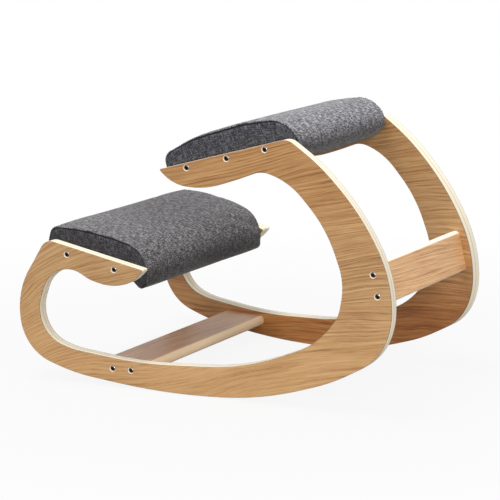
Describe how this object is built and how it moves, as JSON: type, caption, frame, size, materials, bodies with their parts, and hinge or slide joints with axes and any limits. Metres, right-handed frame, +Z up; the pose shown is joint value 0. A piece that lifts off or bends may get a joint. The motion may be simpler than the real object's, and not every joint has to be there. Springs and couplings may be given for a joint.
{
  "type": "kneeling chair",
  "caption": "Rocking kneeling chair: plywood side frames on curved runners, joined by stretchers, carry a padded seat and a padded knee rest.",
  "frame": {"origin": "middle of the chair's box, on the floor under the runners", "axes": "+Z up, -Y towards the knees (the front), +Y towards the back of the seat, +X to the sitter's left"},
  "size_m": [0.5204, 0.7025, 0.4857],
  "materials": {
    "frame_plywood": "satin oak veneer faces on plywood with pale edges",
    "board_plywood": "raw plywood",
    "cover_fabric": "woven heathered grey upholstery cloth",
    "dust_cloth": "thin non-woven cloth",
    "foam": "polyurethane foam",
    "bolt_steel": "bronzed steel",
    "insert_steel": "zinc-plated steel"
  },
  "bodies": {
    "root": {"side_frame_left": "frame_plywood", "side_frame_right": "frame_plywood", "front_stretcher": "frame_plywood", "rear_stretcher": "frame_plywood", "seat_board": "board_plywood", "knee_board": "board_plywood", "seat_dust_cover": "dust_cloth", "knee_dust_cover": "dust_cloth", "seat_foam": "foam", "knee_foam": "foam", "seat_cover": "cover_fabric", "knee_cover": "cover_fabric", "seat_bolts_left": "bolt_steel", "seat_inserts_left": "insert_steel", "seat_bolts_right": "bolt_steel", "seat_inserts_right": "insert_steel", "knee_bolts_left": "bolt_steel", "knee_inserts_left": "insert_steel", "knee_bolts_right": "bolt_steel", "knee_inserts_right": "insert_steel", "front_stretcher_bolts_left": "bolt_steel", "front_stretcher_inserts_left": "insert_steel", "front_stretcher_bolts_right": "bolt_steel", "front_stretcher_inserts_right": "insert_steel", "rear_stretcher_bolts_left": "bolt_steel", "rear_stretcher_inserts_left": "insert_steel", "rear_stretcher_bolts_right": "bolt_steel", "rear_stretcher_inserts_right": "insert_steel"}
  },
  "joints": []
}
